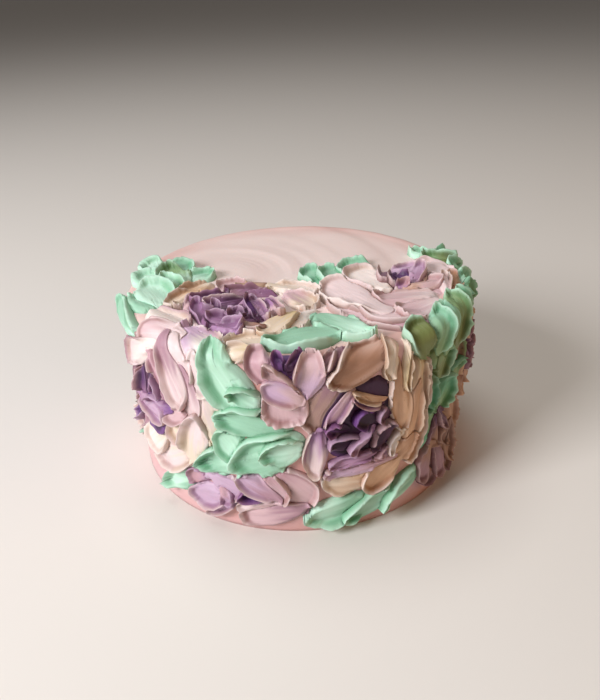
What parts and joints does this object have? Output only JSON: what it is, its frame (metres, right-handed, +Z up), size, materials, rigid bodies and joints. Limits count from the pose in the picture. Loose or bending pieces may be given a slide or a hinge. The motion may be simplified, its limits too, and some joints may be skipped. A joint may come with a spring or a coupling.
{
  "type": "buttercream cake",
  "caption": "Round uncut cake under a smooth pink buttercream coat, dressed with palette-knife buttercream roses, buds and mint leaves round its wall and over the front of its top.",
  "frame": {"origin": "centre of the flat base of the coated cake", "axes": "+Z up through the middle of the cake, the shown front facing -Y, +X to its right"},
  "size_m": [0.169, 0.169, 0.0901],
  "materials": {
    "buttercream_coat": "soft satin buttercream with knife marks",
    "buttercream_mint": "soft satin buttercream with knife marks",
    "buttercream_beige": "soft satin buttercream with knife marks",
    "buttercream_blush": "soft satin buttercream with knife marks",
    "buttercream_dusty": "soft satin buttercream with knife marks",
    "buttercream_lilac": "soft satin buttercream with knife marks",
    "buttercream_plum": "soft satin buttercream with knife marks",
    "buttercream_mauve": "soft satin buttercream with knife marks"
  },
  "bodies": {
    "root": {"blossom_pink": "buttercream_blush", "bud_back_1": "buttercream_lilac", "bud_back_2": "buttercream_lilac", "bud_back_3": "buttercream_lilac", "bud_back_4": "buttercream_lilac", "bud_lilac": "buttercream_lilac", "coated_cake": "buttercream_coat", "leaf_back_1_1": "buttercream_mint", "leaf_back_1_2": "buttercream_mint", "leaf_back_2_1": "buttercream_mint", "leaf_back_2_2": "buttercream_mint", "leaf_back_3_1": "buttercream_mint", "leaf_back_3_2": "buttercream_mint", "leaf_back_4_1": "buttercream_mint", "leaf_back_4_2": "buttercream_mint", "leaf_between_roses": "buttercream_mint", "leaf_centre_curl": "buttercream_mint", "leaf_centre_flat": "buttercream_mint", "leaf_centre_left": "buttercream_mint", "leaf_centre_low": "buttercream_mint", "leaf_centre_tall": "buttercream_mint", "leaf_edge_left": "buttercream_mint", "leaf_foot_far_left": "buttercream_mint", "leaf_foot_front": "buttercream_mint", "leaf_foot_left": "buttercream_mint", "leaf_foot_middle": "buttercream_mint", "leaf_foot_right": "buttercream_mint", "leaf_rim_front": "buttercream_mint", "leaf_rim_middle": "buttercream_mint", "leaves_back_right": "buttercream_mint", "leaves_right": "buttercream_mint", "leaves_rim_right": "buttercream_mint", "leaves_top_left": "buttercream_mint", "leaves_top_middle": "buttercream_mint", "rose_back_1": "buttercream_dusty", "rose_back_2": "buttercream_blush", "rose_back_3": "buttercream_plum", "rose_back_4": "buttercream_beige", "rose_back_5": "buttercream_lilac", "rose_blush": "buttercream_blush", "rose_front": "buttercream_beige", "rose_left": "buttercream_blush", "rose_mauve": "buttercream_mauve", "rose_plum": "buttercream_plum", "rose_small": "buttercream_dusty"}
  },
  "joints": []
}
